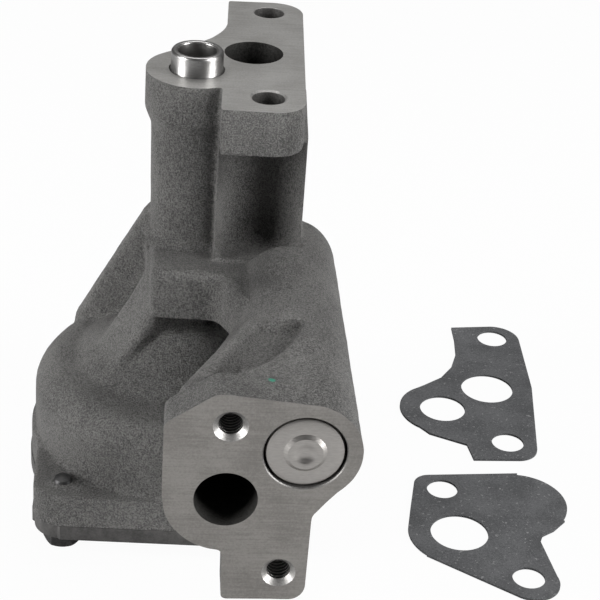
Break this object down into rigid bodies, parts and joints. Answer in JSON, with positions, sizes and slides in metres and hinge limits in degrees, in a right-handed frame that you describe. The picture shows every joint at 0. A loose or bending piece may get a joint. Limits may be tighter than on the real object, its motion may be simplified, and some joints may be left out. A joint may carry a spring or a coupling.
{
  "type": "engine oil pump",
  "caption": "Cast iron engine oil pump with a drive tower, outlet flange, pilot sleeve, pickup port, relief valve, rotor cover and two gaskets.",
  "frame": {"origin": "on the drive axis, at the engine mounting face", "axes": "+Z along the drive axis towards the engine, +Y along the line of the two mounting bolts away from the pickup port"},
  "size_m": [0.1857, 0.2083, 0.15],
  "materials": {
    "cast_iron": "rough sand cast grey iron with machined faces",
    "cover_iron": "dark machined iron plate",
    "bolt_steel": "dark oiled steel",
    "shaft_steel": "hardened ground steel",
    "ground_steel": "bright ground steel",
    "rotor_steel": "sintered steel",
    "spring_steel": "drawn spring wire",
    "cap_steel": "pressed sheet steel",
    "gasket_fibre": "matt bonded fibre sheet"
  },
  "bodies": {
    "pump": {"pump_body": "cast_iron", "rotor_cover": "cover_iron", "cover_bolt_front_left": "bolt_steel", "cover_bolt_front_right": "bolt_steel", "cover_bolt_rear_left": "bolt_steel", "cover_bolt_rear_right": "bolt_steel", "pilot_sleeve": "ground_steel", "relief_spring": "spring_steel", "relief_cap": "cap_steel", "mounting_gasket": "gasket_fibre", "inlet_gasket": "gasket_fibre"},
    "drive": {"drive_shaft": "shaft_steel", "inner_rotor": "rotor_steel", "rotor_drive_pin": "shaft_steel"},
    "outer": {"outer_rotor": "rotor_steel"},
    "valve": {"relief_plunger": "shaft_steel"}
  },
  "joints": [
    {"name": "drive_spin", "type": "hinge", "parent": "pump", "child": "drive", "pos_m": [0, 0, -0.12], "axis": [0, 0, 1], "continuous": true},
    {"name": "outer_rotor_spin", "type": "hinge", "parent": "pump", "child": "outer", "pos_m": [0, -0.0036, -0.12], "axis": [0, 0, 1], "continuous": true},
    {"name": "relief_slide", "type": "slide", "parent": "pump", "child": "valve", "axis": [0.0454, -0.999, 0], "range_m": [0, 0.012], "stiffness_N_per_m": 3800, "deforming": ["relief_spring"]}
  ],
  "couplings": [
    {"joint": "outer_rotor_spin", "follows": "drive_spin", "ratio": 0.8}
  ]
}
